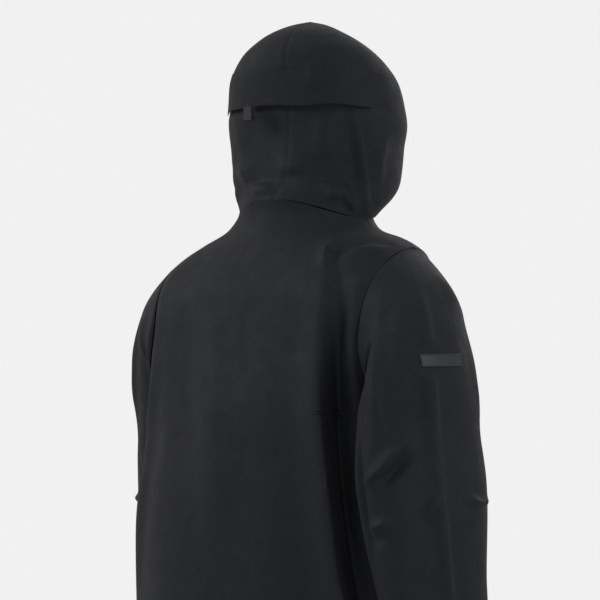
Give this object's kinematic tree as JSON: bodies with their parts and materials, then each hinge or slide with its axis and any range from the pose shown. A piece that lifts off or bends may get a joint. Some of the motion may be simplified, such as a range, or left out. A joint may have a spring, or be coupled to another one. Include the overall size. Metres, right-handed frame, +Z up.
{
  "type": "hooded shell jacket",
  "caption": "Hooded waterproof shell jacket worn with the hood up: front zip, zipped hand pockets, set-in sleeves with cuff tabs, brimmed hood with a rear adjuster flap.",
  "frame": {"origin": "centre of the neck at the height of the nape seam", "axes": "+Z up along the body, -Y the way the front faces, +X the wearer's left"},
  "size_m": [0.711, 0.3824, 1.02],
  "materials": {
    "shell": "matte",
    "lining": "matte",
    "tape": "matte",
    "trim": "matte",
    "hook_loop": "matte",
    "patch": "satin",
    "tab": "matte",
    "zip_teeth": "satin",
    "zip_metal": "satin",
    "lock_plastic": "matte"
  },
  "bodies": {
    "torso": {"back_panel": "shell", "front_panel_left": "shell", "front_panel_right": "shell", "hem_facing": "lining", "neck_facing": "lining", "inner_zip_flap": "lining", "chin_guard": "trim", "neck_label": "trim", "pocket_bag_left": "lining", "pocket_bag_right": "lining", "hanger_loop": "trim", "front_zip_tape_left": "tape", "front_zip_tape_right": "tape", "front_zip_coil_left": "zip_teeth", "front_zip_coil_right": "zip_teeth", "front_zip_top_stops": "zip_teeth", "front_zip_bottom_box": "zip_teeth", "front_zip_insertion_pin": "zip_teeth", "pocket_zip_tape_left": "tape", "pocket_zip_tape_right": "tape", "pocket_zip_coil_left": "zip_teeth", "pocket_zip_coil_right": "zip_teeth", "hem_lock_housing_left": "lock_plastic", "hem_lock_housing_right": "lock_plastic"},
    "front_zip_slider": {"front_zip_slider": "zip_metal"},
    "front_zip_pull": {"front_zip_pull": "zip_metal"},
    "hood": {"hood_left_panel": "shell", "hood_right_panel": "shell", "hood_edge_binding": "shell", "hood_lock_housing": "lock_plastic"},
    "rear_flap": {"hood_rear_flap": "shell"},
    "brim": {"hood_brim": "shell"},
    "hood_button": {"hood_lock_button": "lock_plastic"},
    "left_pocket_slider": {"pocket_zip_slider_left": "zip_metal"},
    "left_pocket_pull": {"pocket_zip_pull_left": "zip_metal"},
    "left_hem_button": {"hem_lock_button_left": "lock_plastic"},
    "left_upper_arm": {"left_upper_sleeve": "shell"},
    "left_forearm": {"left_lower_sleeve": "shell", "left_cuff_facing": "lining", "left_cuff_loop_pad": "hook_loop"},
    "left_cuff_tab": {"left_cuff_tab": "tab"},
    "right_pocket_slider": {"pocket_zip_slider_right": "zip_metal"},
    "right_pocket_pull": {"pocket_zip_pull_right": "zip_metal"},
    "right_hem_button": {"hem_lock_button_right": "lock_plastic"},
    "right_upper_arm": {"right_upper_sleeve": "shell", "sleeve_patch": "patch"},
    "right_forearm": {"right_lower_sleeve": "shell", "right_cuff_facing": "lining", "right_cuff_loop_pad": "hook_loop"},
    "right_cuff_tab": {"right_cuff_tab": "tab"}
  },
  "joints": [
    {"name": "front_zip_travel", "type": "slide", "parent": "torso", "child": "front_zip_slider", "axis": [0, -0.007, -1], "range_m": [0, 0.685]},
    {"name": "front_pull_swing", "type": "hinge", "parent": "front_zip_slider", "child": "front_zip_pull", "pos_m": [0, -0.09473, -0.02948], "axis": [-1, 0, 0], "range_deg": [0, 150]},
    {"name": "left_pocket_zip_travel", "type": "slide", "parent": "torso", "child": "left_pocket_slider", "axis": [0.0559, -0.0037, -0.9984], "range_m": [0, 0.145]},
    {"name": "left_pocket_pull_swing", "type": "hinge", "parent": "left_pocket_slider", "child": "left_pocket_pull", "pos_m": [0.14018, -0.06474, -0.52961], "axis": [-0.8856, -0.4619, -0.0478], "range_deg": [0, 150]},
    {"name": "right_pocket_zip_travel", "type": "slide", "parent": "torso", "child": "right_pocket_slider", "axis": [-0.0559, -0.0037, -0.9984], "range_m": [0, 0.145]},
    {"name": "right_pocket_pull_swing", "type": "hinge", "parent": "right_pocket_slider", "child": "right_pocket_pull", "pos_m": [-0.14018, -0.06474, -0.52961], "axis": [-0.8856, 0.4619, 0.0478], "range_deg": [0, 150]},
    {"name": "left_hem_lock_press", "type": "slide", "parent": "torso", "child": "left_hem_button", "axis": [0, 0, -1], "range_m": [0, 0.003], "stiffness_N_per_m": 300},
    {"name": "left_arm_swing", "type": "hinge", "parent": "torso", "child": "left_upper_arm", "pos_m": [0.2065, 0.032, -0.192], "axis": [-1, 0, 0], "range_deg": [-12, 20]},
    {"name": "left_elbow_bend", "type": "hinge", "parent": "left_upper_arm", "child": "left_forearm", "pos_m": [0.2835, -0.054, -0.39], "axis": [-1, 0, 0], "range_deg": [0, 45]},
    {"name": "left_cuff_tab_peel", "type": "hinge", "parent": "left_forearm", "child": "left_cuff_tab", "pos_m": [0.34314, -0.05, -0.653], "axis": [0, 0, 1], "range_deg": [0, 60]},
    {"name": "right_hem_lock_press", "type": "slide", "parent": "torso", "child": "right_hem_button", "axis": [0, 0, -1], "range_m": [0, 0.003], "stiffness_N_per_m": 300},
    {"name": "right_arm_swing", "type": "hinge", "parent": "torso", "child": "right_upper_arm", "pos_m": [-0.2065, 0.038, -0.192], "axis": [-1, 0, 0], "range_deg": [-12, 20]},
    {"name": "right_elbow_bend", "type": "hinge", "parent": "right_upper_arm", "child": "right_forearm", "pos_m": [-0.2835, 0.075, -0.39], "axis": [-1, 0, 0], "range_deg": [0, 45]},
    {"name": "right_cuff_tab_peel", "type": "hinge", "parent": "right_forearm", "child": "right_cuff_tab", "pos_m": [-0.34314, 0.105, -0.653], "axis": [0, 0, -1], "range_deg": [0, 60]},
    {"name": "hood_tilt", "type": "hinge", "parent": "torso", "child": "hood", "pos_m": [0.00225, -0.00974, 0.13], "axis": [0.9744, 0.225, 0], "range_deg": [-12, 12]},
    {"name": "rear_flap_lift", "type": "hinge", "parent": "hood", "child": "rear_flap", "pos_m": [-0.01669, 0.07227, 0.198], "axis": [0.9744, 0.225, 0], "range_deg": [0, 35]},
    {"name": "brim_flex", "type": "hinge", "parent": "hood", "child": "brim", "pos_m": [0.02744, -0.11887, 0.239], "axis": [-0.9744, -0.225, 0], "range_deg": [-8, 6]},
    {"name": "hood_lock_press", "type": "slide", "parent": "hood", "child": "hood_button", "axis": [0, 0, -1], "range_m": [0, 0.003], "stiffness_N_per_m": 300}
  ]
}
